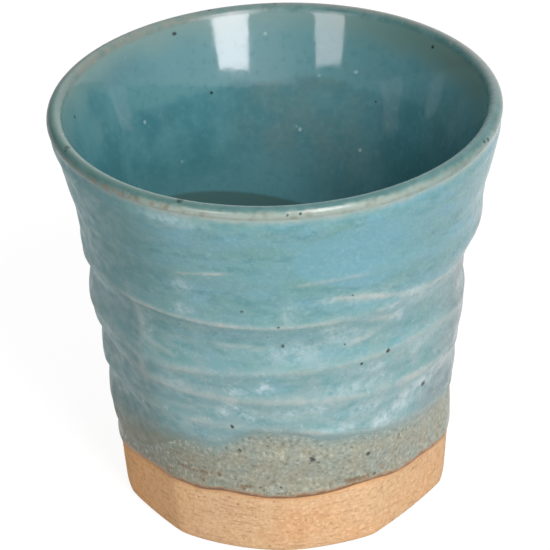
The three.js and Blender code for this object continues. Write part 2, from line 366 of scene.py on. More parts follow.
front_radius = clay_surface(np.zeros(1), np.full(1, CUP_HEIGHT / 2))[0]
print("clay's radius in front, halfway up:", round(front_radius / MM, 2), "mm")

# %% [markdown]
# ## Turning a piece
# A potter turns a lump on the wheel, and Blender does the same with an outline: a single point is
# extruded along the profile, step by step, and the line is turned round the Z axis. Spin could do
# that, but with this many steps a Screw modifier without a rise is much faster. Where the ends meet,
# doubles are merged, and the normals are then recalculated so that faces point outwards.

# %% Helper that turns an outline
COLUMNS = 420
SAME_POINT = 0.004 * MM  # closer points are merged


def turn(name, outline):
    """A closed body turned from a list of (radius, height)."""
    bpy.ops.object.select_all(action="DESELECT")
    start_radius, start_height = outline[0]
    bpy.ops.mesh.primitive_plane_add(size=MM, location=(start_radius, 0, start_height))
    piece = bpy.context.object
    piece.name = piece.data.name = name
    bpy.ops.object.transform_apply(location=True, rotation=False, scale=False)
    bpy.ops.object.mode_set(mode="EDIT")
    bpy.ops.mesh.merge(type="CENTER")
    for (radius, height), (next_radius, next_height) in zip(outline, outline[1:]):
        step = (next_radius - radius, 0, next_height - height)
        bpy.ops.mesh.extrude_region_move(TRANSFORM_OT_translate={"value": step})
    bpy.ops.object.mode_set(mode="OBJECT")
    wheel = piece.modifiers.new("wheel", "SCREW")
    wheel.steps = wheel.render_steps = COLUMNS
    bpy.ops.object.modifier_apply(modifier=wheel.name)
    bpy.ops.object.mode_set(mode="EDIT")
    bpy.ops.mesh.select_all(action="SELECT")
    bpy.ops.mesh.remove_doubles(threshold=SAME_POINT)
    bpy.ops.mesh.normals_make_consistent(inside=False)
    bpy.ops.object.mode_set(mode="OBJECT")
    return piece


print(COLUMNS, "columns round each piece")

# %% [markdown]
# ## Shaping a piece
# The turned vertices lie on the plain wall. This helper reads each one's radius, height and angle, and
# moves it to where the ridges and flats put it. It also stores marks on the vertices, such as how far a
# point lies above an edge, because a finish can read them again as attributes.

# %% Helper that shapes a turned piece
SHARP_EDGE = math.radians(40)  # a steeper edge is shaded as a crease


def shape(piece, move):
    """Moves each vertex as move(radius, height, angle) says, then leans the cup a little."""
    mesh = piece.data
    places = np.empty(len(mesh.vertices) * 3)
    mesh.vertices.foreach_get("co", places)
    x, y, height = places.reshape(-1, 3).T
    radius = np.hypot(x, y)
    angle = np.arctan2(x, -y)
    radius, height, marks = move(radius, height, angle)
    x, y = radius * np.sin(angle), -radius * np.cos(angle)
    height = height - lean_drop(x, height)
    mesh.vertices.foreach_set("co", np.stack([x, y, height], axis=1).ravel())
    for mark, values in marks.items():
        layer = mesh.attributes.new(mark, "FLOAT", "POINT")
        layer.data.foreach_set("value", values.astype(np.float32))
    mesh.update()
    bpy.ops.object.select_all(action="DESELECT")
    piece.select_set(True)
    bpy.context.view_layer.objects.active = piece
    bpy.ops.object.shade_smooth_by_angle(angle=SHARP_EDGE)
    triangles = sum(len(face.vertices) - 2 for face in mesh.polygons)
    print(piece.name, "has", len(mesh.vertices), "vertices and", triangles, "triangles")


print("edges over", round(math.degrees(SHARP_EDGE)), "degrees stay sharp")

# %% [markdown]
# ## Points of an outline
# Every outline is made of straight or slightly curved stretches, in even steps, and of round ones, such
# as the lip and the corner of the floor. Two helpers give the points of such stretches.

# %% Helpers for outlines


def climb(start, end, spacing):
    """Heights, or radii, from start to end in even steps of about the spacing, without the start."""
    count = max(1, round(abs(end - start) / spacing))
    return [start + (end - start) * step / count for step in range(1, count + 1)]


def arc(middle, radius, start, end, count):
    """Points on a round stretch of an outline, without its start. Angles run from +X to +Z."""
    points = []
    for step in range(1, count + 1):
        angle = math.radians(start + (end - start) * step / count)
        points.append((middle[0] + radius * math.cos(angle), middle[1] + radius * math.sin(angle)))
    return points


print("steps from 0 to 10, about 3 apart:", [round(v, 1) for v in climb(0, 10, 3)])

# %% [markdown]
# ## Where the coats end
# The first dip ends in a wavering brown line above the bare foot. The second one ends higher up in a
# lazier line, because the cup was held at a slant. Each line is a height at some angles, in degrees
# from the front, joined smoothly and made a little ragged.

# %% Lower edges of the two coats
FIRST_COAT_LINE = [  # degrees, mm up
    (-150, 13.6), (-120, 13), (-92, 11.6), (-80, 11.9), (-70, 12.8), (-61, 13.9), (-45, 14.7), (-38, 14.2),
    (-30, 14.1), (-20, 14.6), (-8, 14.3), (4, 14.1), (12, 14.2), (21, 14.7), (29, 15.1), (35, 14.3),
    (42, 13.3), (48, 12.7), (55, 13.1), (63, 12.5), (80, 12.7), (95, 12.9), (125, 14.6), (150, 15),
    (180, 14.5),
]
SECOND_COAT_LINE = [
    (-160, 25), (-125, 20), (-100, 16.5), (-84, 15.6), (-66, 16.2), (-56, 17.5), (-48, 20.5), (-40, 24),
    (-33, 25.5), (-26, 25), (-19, 26), (-12, 29.5), (-6, 30.8), (4, 29.5), (15, 26.6), (21, 27.4),
    (31, 26.4), (38, 25), (50, 24), (66, 24), (82, 25), (100, 25), (125, 24), (150, 28.5), (178, 27),
]
EDGE_BLUR = np.radians([-4, -2, 0, 2, 4])  # rounds the corners of the lines
EDGE_WAVER = 0.3 * MM
WAVER_LEVEL = 60 * MM  # the height at which the waver's noise is read
FIRST_WAVER_SIZE = 5 * MM
SECOND_WAVER_SIZE = 3 * MM


def coat_line(points, angle, grain):
    degrees, heights = zip(*points)
    line = sum(np.interp(np.degrees(angle + step), degrees, heights, period=360) for step in EDGE_BLUR)
    waver = EDGE_WAVER * unit_noise(angle, np.full_like(angle, WAVER_LEVEL), grain)
    return line / len(EDGE_BLUR) * MM + waver


def first_coat_line(angle):
    return coat_line(FIRST_COAT_LINE, angle, FIRST_WAVER_SIZE)


def second_coat_line(angle):
    return coat_line(SECOND_COAT_LINE, angle, SECOND_WAVER_SIZE)


print("first coat's edge in front at", first_coat_line(np.zeros(1)) / MM, "mm")
print("second coat's edge in front at", second_coat_line(np.zeros(1)) / MM, "mm")

# %% [markdown]
# ## The clay body
# Only the foot stays bare, so the outline has close points there, on the trimmed underside and on the
# worn edge, and wide steps under the glaze, where nothing is seen.

# %% Turn the clay
FINE = 0.3 * MM
COARSE = 2 * MM
BARE_TOP = 18 * MM
UNDERSIDE_STEP = 0.7 * MM
SLOPE_STEP = 0.4 * MM
CORNER_POINTS = 12  # on round stretches of the outline
FOOT_EDGE_POINTS = 6
CLAY_LIP_POINTS = 10


def floor_points(thickness, pool, spacing):
    """Outline of the hollow from the top of the inner corner down to the axis."""
    middle = (hollow_radius(corner_height) - INNER_CORNER_RADIUS, corner_height)
    points = arc(middle, INNER_CORNER_RADIUS - thickness, 0, -90, CORNER_POINTS)
    flat_radius, flat_height = points[-1]
    for radius in climb(flat_radius, 0, spacing):
        share = 1 - radius / flat_radius
        points.append((radius, flat_height + (pool - thickness) * share))
    return points


def wall_points(start, end, spacing, layer):
    return [(wall_radius(height) + layer, height) for height in climb(start, end, spacing)]


def hollow_points(start, end, spacing, layer):
    return [(hollow_radius(height) - layer, height) for height in climb(start, end, spacing)]


def clay_outline():
    points = [(0, RECESS_DEPTH)]
    slope_start = RECESS_RADIUS - RECESS_SLOPE
    points += [(radius, RECESS_DEPTH) for radius in climb(0, slope_start, UNDERSIDE_STEP)]
    for radius in climb(slope_start, RECESS_RADIUS, SLOPE_STEP):
        share = (RECESS_RADIUS - radius) / RECESS_SLOPE
        points.append((radius, RECESS_DEPTH * share * share * (3 - 2 * share)))
    points += [(radius, 0) for radius in climb(RECESS_RADIUS, FOOT_RADIUS - FOOT_EDGE, UNDERSIDE_STEP)]
    points += arc((FOOT_RADIUS - FOOT_EDGE, FOOT_EDGE), FOOT_EDGE, -90, 0, FOOT_EDGE_POINTS)
    points += wall_points(FOOT_EDGE, BARE_TOP, FINE, 0)
    points += wall_points(BARE_TOP, lip_height, COARSE, 0)
    points += arc((lip_middle, lip_height), lip_radius, 0, 180, CLAY_LIP_POINTS)
    points += hollow_points(lip_height, corner_height, COARSE, 0)
    return points + floor_points(0, 0, COARSE)


def press_clay(radius, height, angle):
    middle_of_wall = (wall_radius(height) + hollow_radius(height)) / 2
    outside = (radius > middle_of_wall).astype(float)
    ring = FOOT_RADIUS - FOOT_EDGE - RECESS_RADIUS
    on_foot = np.clip((radius - RECESS_RADIUS) / ring, 0, 1)
    outside = np.where(height < FOOT_EDGE, on_foot, outside)
    pressed = clay_surface(angle, height) - wall_radius(height)
    underneath = (radius < FOOT_RADIUS) & (height < RECESS_DEPTH + SAME_POINT)
    bare = (outside > 0) & (height < BARE_TOP) | underneath
    marks = {"below_glaze": (first_coat_line(angle) - height) / MM, "bare": bare.astype(float)}
    return radius + outside * pressed, height, marks


clay = turn("clay_body_thrown", clay_outline())
shape(clay, press_clay)

# %% [markdown]
# The clay is sandy, and the knife dragged grains across it. A Displace modifier with a fine cloud
# texture gives the bare foot that grain as real relief. Its weight comes from a vertex group, so the
# clay under the glaze and the flat standing ring stay as they are.

# %% Grain of the bare clay
GRAIN = 0.09 * MM
GRAIN_SIZE = 0.75 * MM
GRAIN_START = 0.3 * MM  # below this, the foot stands flat
GRAIN_LEVEL = 0.6  # of the texture, below which the clay is pitted


def bare_weights(piece):
    group = piece.vertex_groups.new(name="bare")
    bare = np.empty(len(piece.data.vertices), np.float32)
    piece.data.attributes["bare"].data.foreach_get("value", bare)
    for vertex in piece.data.vertices:
        if bare[vertex.index] and vertex.co.z > GRAIN_START:
            group.add([vertex.index], 1.0, "REPLACE")


bare_weights(clay)
grain = bpy.data.textures.new("clay_grain", "CLOUDS")
grain.noise_scale = GRAIN_SIZE
grain.noise_depth = 2
displace = clay.modifiers.new("grain", "DISPLACE")
displace.texture = grain
displace.texture_coords = "LOCAL"
displace.vertex_group = "bare"
displace.strength = GRAIN
displace.mid_level = GRAIN_LEVEL
bpy.context.view_layer.objects.active = clay
bpy.ops.object.modifier_apply(modifier=displace.name)
clay.vertex_groups.clear()
print("foot grained by up to", GRAIN / MM, "mm")

# %% [markdown]
# ## The lining
# The lining was poured in, swilled round and tipped out. It covers the floor, where it pooled, and
# the inner wall, and it runs over the lip to meet the first coat on top. Its hidden side lies on the
# clay.

# %% Turn the lining
LINING_STEP = 0.7 * MM
LIP_POINTS = 12  # on a quarter of the lip that shows
HIDDEN_LIP_POINTS = 6


def lining_outline():
    lean = math.degrees(math.atan((hollow_radius(lip_height) - hollow_radius(lip_height - MM)) / MM))
    on_clay = arc((lip_middle, lip_height), lip_radius, 90, 180, HIDDEN_LIP_POINTS)
    on_clay += hollow_points(lip_height, corner_height, COARSE, 0)
    on_clay += floor_points(0, 0, COARSE)
    on_clay.reverse()
    glaze_radius = lip_radius + FIRST_COAT
    top = [(lip_middle, lip_height + lip_radius), (lip_middle, lip_height + glaze_radius)]
    over_lip = arc((lip_middle, lip_height), glaze_radius, 90, 180 - lean, LIP_POINTS)
    inside = hollow_points(over_lip[-1][1], corner_height, LINING_STEP, LINING)
    return [*on_clay, *top, *over_lip, *inside, *floor_points(LINING, LINING_POOL, LINING_STEP)]


def settle_lining(radius, height, angle):
    over_lip = np.arctan2(height - lip_height, radius - lip_middle) / np.pi
    over_lip = np.where(height > lip_height, over_lip, 1)
    return radius, height, {"over_lip": over_lip}


lining = turn("liner_glaze_poured", lining_outline())
shape(lining, settle_lining)

# %% [markdown]
# ## The first coat
# The first dip is thin. It shows in the band above the foot, where it ends in a rolled edge, and on
# the lip. Between those the second coat hides it, so the outline is coarse there.

# %% Turn the first coat
BAND_TOP = 40 * MM
UNDER_LIP = 84 * MM
ROLLED_EDGE = 0.9 * MM  # height over which the coat comes to its full thickness
ROLLED_EXTRA = 0.12 * MM
ABOVE_WALL = 0.01 * MM  # higher points belong to the round lip


def first_coat_outline():
    bottom = (wall_radius(GLAZE_LINE), GLAZE_LINE)
    outside = [(bottom[0] + FIRST_COAT, GLAZE_LINE)]
    outside += wall_points(GLAZE_LINE, BAND_TOP, FINE, FIRST_COAT)
    outside += wall_points(BAND_TOP, UNDER_LIP, COARSE, FIRST_COAT)
    outside += wall_points(UNDER_LIP, lip_height, FINE, FIRST_COAT)
    outside += arc((lip_middle, lip_height), lip_radius + FIRST_COAT, 0, 90, LIP_POINTS)
    on_clay = [bottom, *wall_points(GLAZE_LINE, lip_height, COARSE, 0)]
    on_clay += arc((lip_middle, lip_height), lip_radius, 0, 90, HIDDEN_LIP_POINTS)
    return [*outside, *reversed(on_clay), outside[0]]


def lay_first_coat(radius, height, angle):
    line = first_coat_line(angle)
    pulled = 1 - smooth_step(height, GLAZE_LINE, BAND_TOP)
    moved = height + (line - GLAZE_LINE) * pulled
    layer = (radius - wall_radius(height)) / FIRST_COAT
    above = moved - line
    thickness = THIN_EDGE + (FIRST_COAT - THIN_EDGE) * np.sqrt(np.clip(above / ROLLED_EDGE, 0, 1))
    thickness = thickness + ROLLED_EXTRA * bell(above - ROLLED_EDGE, ROLLED_EDGE)
    wall = clay_surface(angle, moved) + layer * thickness
    lip = height > lip_height + ABOVE_WALL
    over_lip = np.arctan2(height - lip_height, radius - lip_middle) / np.pi
    marks = {
        "above_foot": above / MM,
        "below_second": (second_coat_line(angle) - moved) / MM,
        "over_lip": np.where(lip, over_lip, 0),
        "below_lip": (lip_height - moved) / MM,
    }
    return np.where(lip, radius, wall), np.where(lip, height, moved), marks


first_coat = turn("first_glaze_coat_dipped", first_coat_outline())
shape(first_coat, lay_first_coat)

# %% [markdown]
# ## Patches in the turquoise
# The turquoise isn't even. It is milky in patches and bluer in one place under the lip. On the right a
# grey sheen is painted in, for the room mirrored at a grazing angle, and on the left painted shade
# makes it darker. Such places could be painted on an image, but written in degrees and millimetres they
# need no image, and stay sharp at any size.

# %% Where the second coat is pale or blue, and where a grey sheen and shade are painted
PALE_PATCHES = [  # degrees, mm up, half width in degrees, half height in mm, strength
    (41.5, 60.1, 4, 1.3, 1.0), (32.5, 58.9, 3, 1.2, 1.0), (36.8, 54.9, 3.5, 1.5, 1.0),
    (15.3, 56, 3, 1.2, 1.0), (2, 61.6, 1.8, 2.4, 0.5), (14, 64, 3, 0.9, 0.8), (25, 63.4, 8, 1.4, 0.5),
    (47, 57.5, 8, 2, 0.6), (-14.5, 41.2, 3, 1, 1.0), (-6, 42.8, 3, 1.2, 1.0), (-16, 37.6, 2.6, 1.6, 1.0),
    (-19, 36, 2.4, 1.2, 0.8), (-11.7, 35.8, 3, 1.2, 0.9), (1, 36, 5, 1.2, 0.6), (11, 36.4, 5, 1.8, 0.7),
    (18, 30.5, 7, 1.2, 0.7), (26, 34.5, 8, 1.6, 0.6), (33, 29.4, 7, 2.2, 0.9),
    (43, 31.4, 7, 2.6, 1.0), (52, 32.8, 7, 2.6, 0.9), (62, 34.6, 6, 2.2, 0.7), (22, 40.5, 10, 1.6, 0.5),
    (4, 51, 9, 2.6, 0.5), (19, 53.5, 8, 2, 0.6), (48, 44, 10, 2, 0.5), (30, 44, 8, 1.4, 0.5),
    (-28.5, 66.6, 3, 1.6, 0.6), (-28.5, 60.6, 2.4, 1.2, 0.7), (-27, 84, 9, 1.4, 0.5),
    (-30, 31, 9, 1.6, 0.4), (-36, 40, 5, 2, 0.5), (-45, 52, 3, 6, 0.4), (100, 66, 14, 4, 0.5),
    (135, 48, 14, 4, 0.6), (160, 76, 20, 5, 0.5), (-170, 40, 14, 4, 0.6),
    (-135, 58, 12, 4, 0.5), (-100, 72, 16, 5, 0.5), (-90, 46, 9, 4, 0.4), (115, 33, 12, 3, 0.6),
]
BLUE_PATCH = (29, 74.5, 27, 8.5)  # degrees, mm up, half width in degrees, half height in mm
BLUE_EDGE = 0.08  # of its half width, over which it comes in
BLUE_FADE = (0.9, -0.3)  # half widths from its middle, between which it comes in from the right
# past this line, a grey sheen is painted on the right
GREY_SHEEN_LINE = [(20, 36), (25.5, 46), (34.5, 57), (47, 61), (60, 62), (66, 74)]  # mm up, degrees
# past this line, shade is painted on the left
SHADE_LEFT_LINE = [(18, -30), (30, -36), (44, -40), (60, -36), (74, -31), (86, -36)]
GREY_SHEEN_EDGE = (-8, 14)  # degrees past the line, between which the painted grey sheen comes in
GREY_SHEEN_TOP = (74, 60)  # mm up, where it is gone and where it is whole
SHADE_LEFT_EDGE = (-10, 16)
LIT_AGAIN = 0.72  # share of the painted shade that is taken off high up at the far left
LIT_FROM = (42, 68)  # degrees to the left
LIT_ABOVE = (24, 38)  # mm up
SIDES_END = 118  # degrees, where the painted grey sheen and the painted shade end at the back
SIDES_FADE = 25


def pale_patches(angle, height):
    shown = np.zeros_like(angle)
    for *oval, strength in PALE_PATCHES:
        shown = np.maximum(shown, strength * patch(angle, height, *oval))
    return shown


def blue_patch(angle, height):
    degrees, up, half_width, half_height = BLUE_PATCH
    across = (np.degrees(angle) - degrees) / half_width
    inside = 1 - np.hypot(across, (height / MM - up) / half_height)
    return smooth_step(inside, 0, BLUE_EDGE) * smooth_step(across, *BLUE_FADE)


# gives the masks of the painted grey sheen on the right and of the painted shade on the left
def side_marks(angle, height):
    degrees, up = np.degrees(angle), height / MM
    in_front = smooth_step(np.abs(degrees), SIDES_END, SIDES_END - SIDES_FADE)
    right = smooth_step(degrees - drawn_line(GREY_SHEEN_LINE, up), *GREY_SHEEN_EDGE) * smooth_step(up, *GREY_SHEEN_TOP)
    left = smooth_step(drawn_line(SHADE_LEFT_LINE, up) - degrees, *SHADE_LEFT_EDGE)
    lit_again = LIT_AGAIN * smooth_step(-degrees, *LIT_FROM) * smooth_step(up, *LIT_ABOVE)
    return right * in_front, left * (1 - lit_again) * in_front


print(len(PALE_PATCHES), "pale patches")

# %% [markdown]
# ## The second coat
# The second dip is the turquoise one. It is thick in the grooves and thin on the crests, and it runs
# out to nothing at its lower edge and under the lip. Both edges are sunk a little into the first coat,
# so that no step shows where the glazes melted together. The outline is turned straight, and each
# column is then stretched down to the coat's own wavering edge.

# %% Turn the second coat
EDGE_FEATHER = 3.5 * MM
LIP_FEATHER = 4 * MM
SUNK = 0.1 * MM
SOFT_LEFT = 3.2  # how many times softer the lower edge is on the left
SOFT_FROM = (28, 58)  # degrees to the left
SOFT_TO = (130, 100)
second_bottom = GLAZE_LINE + 1.5 * ridge_spacing  # of the outline, before it is stretched


def second_coat_outline():
    start = (wall_radius(second_bottom) + FIRST_COAT + SECOND_COAT, second_bottom)
    under = (wall_radius(second_bottom) + FIRST_COAT, second_bottom)
    outside = [start, *wall_points(second_bottom, lip_height, FINE, FIRST_COAT + SECOND_COAT)]
    inside = [under, *wall_points(second_bottom, lip_height, COARSE, FIRST_COAT)]
    return [*outside, *reversed(inside), start]


def lay_second_coat(radius, height, angle):
    line = second_coat_line(angle)
    stretch = (lip_height - line) / (lip_height - second_bottom)
    moved = lip_height - (lip_height - height) * stretch
    layer = (radius - wall_radius(height) - FIRST_COAT) / SECOND_COAT
    t = groove_place(angle, moved)[1]
    pooled = 4 * t * (1 - t)
    thickness = SECOND_COAT_ON_RIDGES + (SECOND_COAT - SECOND_COAT_ON_RIDGES) * pooled
    spread = smooth_step(moved - line, 0, EDGE_FEATHER) * smooth_step(lip_height - moved, 0, LIP_FEATHER)
    under = FIRST_COAT - SUNK
    over = FIRST_COAT - SUNK / 2 + (thickness + SUNK / 2) * spread
    # masks of the painted grey sheen on the right and of the painted shade on the left
    grey_sheen_right, shaded_dull_left = side_marks(angle, moved)
    leftwards = -np.degrees(angle)
    on_left = smooth_step(leftwards, *SOFT_FROM) * smooth_step(leftwards, *SOFT_TO)
    softness = 1 + (SOFT_LEFT - 1) * on_left
    marks = {
        "crest": crest(angle, moved),
        "pooled": pooled,
        "pale": pale_patches(angle, moved),
        "blue": blue_patch(angle, moved),
        "grey_sheen_right": grey_sheen_right,
        "shaded_dull_left": shaded_dull_left,
        "above_edge": (moved - line) / MM / softness,
        "below_lip": (lip_height - moved) / MM,
    }
    return clay_surface(angle, moved) + under + layer * (over - under), moved, marks


second_coat = turn("second_glaze_coat_dipped", second_coat_outline())
shape(second_coat, lay_second_coat)

# %% [markdown]
# ## Nodes for the finishes
# Every finish is a tree of nodes. A few helpers keep the trees short to write: one adds a node and
# fills its inputs, and the others read what a finish starts from. Coordinates are turned into
# millimetres at once, so every size in a finish is in millimetres.

# %% Helpers that add nodes


def new_finish(name):
    material = bpy.data.materials.new(name)
    material.use_nodes = True
    tree = material.node_tree
    return material, tree, tree.nodes["Principled BSDF"]


def add(tree, kind, inputs, output=0, **settings):
    """Adds a node, fills its inputs with numbers or links, and gives one of its outputs."""
    node = tree.nodes.new("ShaderNode" + kind)
    for name, value in settings.items():
        setattr(node, name, value)
    for name, value in inputs.items():
        if isinstance(value, bpy.types.NodeSocket):
            tree.links.new(value, node.inputs[name])
        else:
            node.inputs[name].default_value = value
    return node.outputs[output]


def place_on(tree, squeeze=1):
    """Object coordinates in millimetres. Squeezed ones make a pattern come out long and low."""
    place = add(tree, "TexCoord", {}, "Object")
    return add(tree, "Mapping", {"Vector": place, "Scale": (1 / MM, 1 / MM, squeeze / MM)})


def axis(tree, place, name):
    return add(tree, "SeparateXYZ", {"Vector": place}, name)


def mark_on(tree, name):
    return add(tree, "Attribute", {}, "Fac", attribute_name=name)


print("one unit in a finish is", MM, "m")

# %% [markdown]
# ## Patterns
# Glaze is mottled and speckled at many sizes. Noise gives the mottle, and a soft threshold turns it into
# clouds. Voronoi cells give the specks, because each cell holds one point: a random share of the cells
# gets a dot there, of a random size.

# %% Helpers for patterns
DOT_EDGE = (-0.35, 0.15)  # of the largest radius, between which a dot ends


def lumps(tree, place, size, detail=2.0, roughness=0.5):
    """Noise from 0 to 1 in lumps of the given size."""
    inputs = {"Vector": place, "Scale": 1 / size, "Detail": detail, "Roughness": roughness}
    return add(tree, "TexNoise", inputs)


def fade(tree, value, low, high, start=0.0, end=1.0):
    """Runs from start to end while value goes from low to high."""
    inputs = {"Value": value, "From Min": low, "From Max": high, "To Min": start, "To Max": end}
    return add(tree, "MapRange", inputs, interpolation_type="SMOOTHSTEP")


def clouds(tree, place, grain, low, high, start=0.0, end=1.0):
    """Lumps with soft edges. The grain is their size, then detail and roughness if they have more."""
    return fade(tree, lumps(tree, place, *grain), low, high, start, end)


def calc(tree, operation, a, b=0.0):
    return add(tree, "Math", {0: a, 1: b}, operation=operation)


def product(tree, first, *others):
    for other in others:
        first = calc(tree, "MULTIPLY", first, other)
    return first


def dots(tree, place, spacing, radius, share, strength=1.0):
    """Scattered round dots of up to the radius, in a share of the cells."""
    cells = tree.nodes.new("ShaderNodeTexVoronoi")
    tree.links.new(place, cells.inputs["Vector"])
    cells.inputs["Scale"].default_value = 1 / spacing
    chance = add(tree, "SeparateColor", {"Color": cells.outputs["Color"]})
    largest = radius / spacing
    size = fade(tree, chance, 1 - share, 1.0, 0.0, largest)
    away = calc(tree, "SUBTRACT", cells.outputs["Distance"], size)
    inner, outer = DOT_EDGE
    return fade(tree, away, inner * largest, outer * largest, strength, 0.0)


print("dots end softly between", DOT_EDGE, "of their largest radius")

# %% [markdown]
# ## Layers
# A colour is built as a potter builds it, as a list of layers that are laid one over another. Each layer
# has an amount, which may be a pattern, and a colour. Bump adds the finest relief, too small for the
# mesh.

# %% Helpers for layers


def paint(tree, amount, under, over):
    """The colour over laid on the colour under, by amount."""
    under = under if isinstance(under, bpy.types.NodeSocket) else (*under, 1)
    over = over if isinstance(over, bpy.types.NodeSocket) else (*over, 1)
    return add(tree, "Mix", {0: amount, 6: under, 7: over}, 2, data_type="RGBA")


def lay(tree, colour, layers):
    """Lays each layer's colour, by its amount, over all that was laid before it."""
    for amount, over in layers:
        colour = paint(tree, amount, colour, over)
    return colour


def relief(tree, shader, height, distance, strength):
    bump = add(tree, "Bump", {"Height": height, "Distance": distance * MM, "Strength": strength})
    tree.links.new(bump, shader.inputs["Normal"])


def finish_with(tree, shader, colour, roughness):
    tree.links.new(colour, shader.inputs["Base Color"])
    tree.links.new(roughness, shader.inputs["Roughness"])


def put_on(piece, material):
    piece.data.materials.append(material)
    print(piece.name, "wears", material.name, "of", len(material.node_tree.nodes), "nodes")


print("four finishes follow, for", [piece.name for piece in (clay, lining, first_coat, second_coat)])

# %% [markdown]
# ## Bare clay
# The foot is sandy tan stoneware, dry to the touch. It is a little redder where the flame touched it,
# and has dark grains of iron and short scratches that run round, where the knife dragged sand along.
# Right under the glaze it is singed.

# %% Finish of the bare clay
CLAY = (0.63, 0.405, 0.23)
CLAY_PALE = (0.78, 0.54, 0.32)
CLAY_DARK = (0.5, 0.28, 0.14)
CLAY_RED = (0.6, 0.29, 0.125)
CLAY_BRIGHT = (0.86, 0.46, 0.2)
CLAY_GRAIN = (0.22, 0.11, 0.05)


def bare_clay():
    material, tree, shader = new_finish("bare_clay")
    place = place_on(tree)
    fine = lumps(tree, place, 0.8, 4, 0.65)
    scratches = clouds(tree, place_on(tree, 9), (3.5, 4, 0.7), 0.56, 0.67)
    colour = lay(tree, CLAY, [
        (fade(tree, axis(tree, place, "X"), -34, -14, 0.9, 0.0), CLAY_BRIGHT),
        (clouds(tree, place, (11,), 0.45, 0.75, 0.0, 0.5), CLAY_RED),
        (fade(tree, fine, 0.5, 0.68, 0.0, 0.65), CLAY_PALE),
        (fade(tree, fine, 0.48, 0.32, 0.0, 0.65), CLAY_DARK),
        (product(tree, scratches, 0.6), CLAY_DARK),
        (dots(tree, place, 1.3, 0.28, 0.5, 0.5), CLAY_GRAIN),
        (dots(tree, place, 3.4, 0.4, 0.35, 0.7), CLAY_GRAIN),
        (fade(tree, mark_on(tree, "below_glaze"), 0.0, 1.1, 0.75, 0.0), CLAY_RED),
    ])
    finish_with(tree, shader, colour, fade(tree, scratches, 0, 1, 0.85, 0.95))
    shader.inputs["Specular IOR Level"].default_value = 0.25
    rough = calc(tree, "SUBTRACT", lumps(tree, place, 0.5, 4), scratches)
    relief(tree, shader, rough, 0.12, 0.6)
    return material


put_on(clay, bare_clay())

# %% [markdown]
# ## Iron specks
# Iron in the clay bled through the glaze in dark specks. The large ones are set one by one, as a place in
# degrees and millimetres and a radius in millimetres. A finish finds each one by its distance from the
# point that is being shaded, so the helpers turn a place on the wall, the lip or the hollow into a
# point.

# %% Specks set one by one
IRON = (0.035, 0.04, 0.035)
SPECK_EDGE = (0.5, 1.3)  # of its radius, between which a speck ends
SPECK_RAGGED = 0.12  # millimetres


def point_at(degrees, radius, height):
    """A point in millimetres, from a radius and a height in metres."""
    angle = math.radians(degrees)
    x, y = radius * math.sin(angle), -radius * math.cos(angle)
    return (x / MM, y / MM, (height - lean_drop(x, height)) / MM)


def on_wall(degrees, up):
    clay_radius = clay_surface(np.array([math.radians(degrees)]), np.array([up * MM]))[0]
    return point_at(degrees, float(clay_radius) + FIRST_COAT + SECOND_COAT / 2, up * MM)


def on_lip(degrees, over):
    """A point on the round lip: over is 0 outside, 0.5 on top and 1 inside."""
    radius = lip_radius + FIRST_COAT
    middle = lip_middle + radius * math.cos(over * math.pi)
    return point_at(degrees, middle, lip_height + radius * math.sin(over * math.pi))


def in_hollow(degrees, up):
    return point_at(degrees, float(hollow_radius(up * MM)) - LINING, up * MM)


def specks(tree, place, spots, put, strength=1.0):
    """Ragged spots of (degrees, place, radius), each brought to its point by put."""
    inner, outer = SPECK_EDGE
    ragged = clouds(tree, place, (0.5,), 0.3, 0.7, -SPECK_RAGGED, SPECK_RAGGED)
    shown = 0.0
    for degrees, up, radius in spots:
        inputs = {0: place, 1: put(degrees, up)}
        away = add(tree, "VectorMath", inputs, "Value", operation="DISTANCE")
        away = calc(tree, "ADD", away, ragged)
        spot = fade(tree, away, inner * radius, outer * radius, strength, 0.0)
        shown = calc(tree, "MAXIMUM", spot, shown)
    return shown


print("a speck in front, halfway up, lies at", [round(v, 1) for v in on_wall(0, CUP_HEIGHT / MM / 2)])

# %% [markdown]
# ## The lip's thin glaze
# Glaze runs off a lip, so both the lining and the first coat are thin there and show the same worn
# colours: beige with rusty flecks on the outer edge, dull green on top and at the front left, sandy at
# the back left and grey at the back right. The two glazes meet on top of the lip, so they share this
# one function and no seam shows.

# %% Colours of the lip
LIP_TOP = (0.05, 0.145, 0.145)
LIP_TOP_PALE = (0.08, 0.19, 0.187)
LIP_BEIGE = (0.34, 0.385, 0.34)
LIP_TAN = (0.27, 0.265, 0.205)
LIP_SAND = (0.17, 0.205, 0.178)
LIP_GREY = (0.165, 0.2, 0.185)
LIP_GREEN = (0.105, 0.19, 0.17)
LIP_BROWN = (0.14, 0.09, 0.05)
LIP_RUST = (0.2, 0.14, 0.08)
LIP_IRON = (0.014, 0.045, 0.044)
LIP_SPECKS = [  # degrees, how far over the lip, radius in mm
    (-68, 0.5, 0.65), (-67, 0.35, 0.3), (-25, 0.5, 0.8), (-163, 0.5, 0.4), (179, 0.5, 0.4),
    (144, 0.1, 0.4), (66, 0.12, 0.5), (64, 0.2, 0.4), (2.2, 0.1, 0.3), (5.3, 0.12, 0.3),
]
LIP_FLECKS = [
    (-51, 0.06, 0.6), (-46.5, 0.05, 0.8), (-44, 0.08, 0.45), (-41, 0.05, 0.7), (-38.5, 0.04, 0.5),
    (-36.5, 0.07, 0.6), (-32, 0.06, 0.6), (-28, 0.05, 0.5),
]


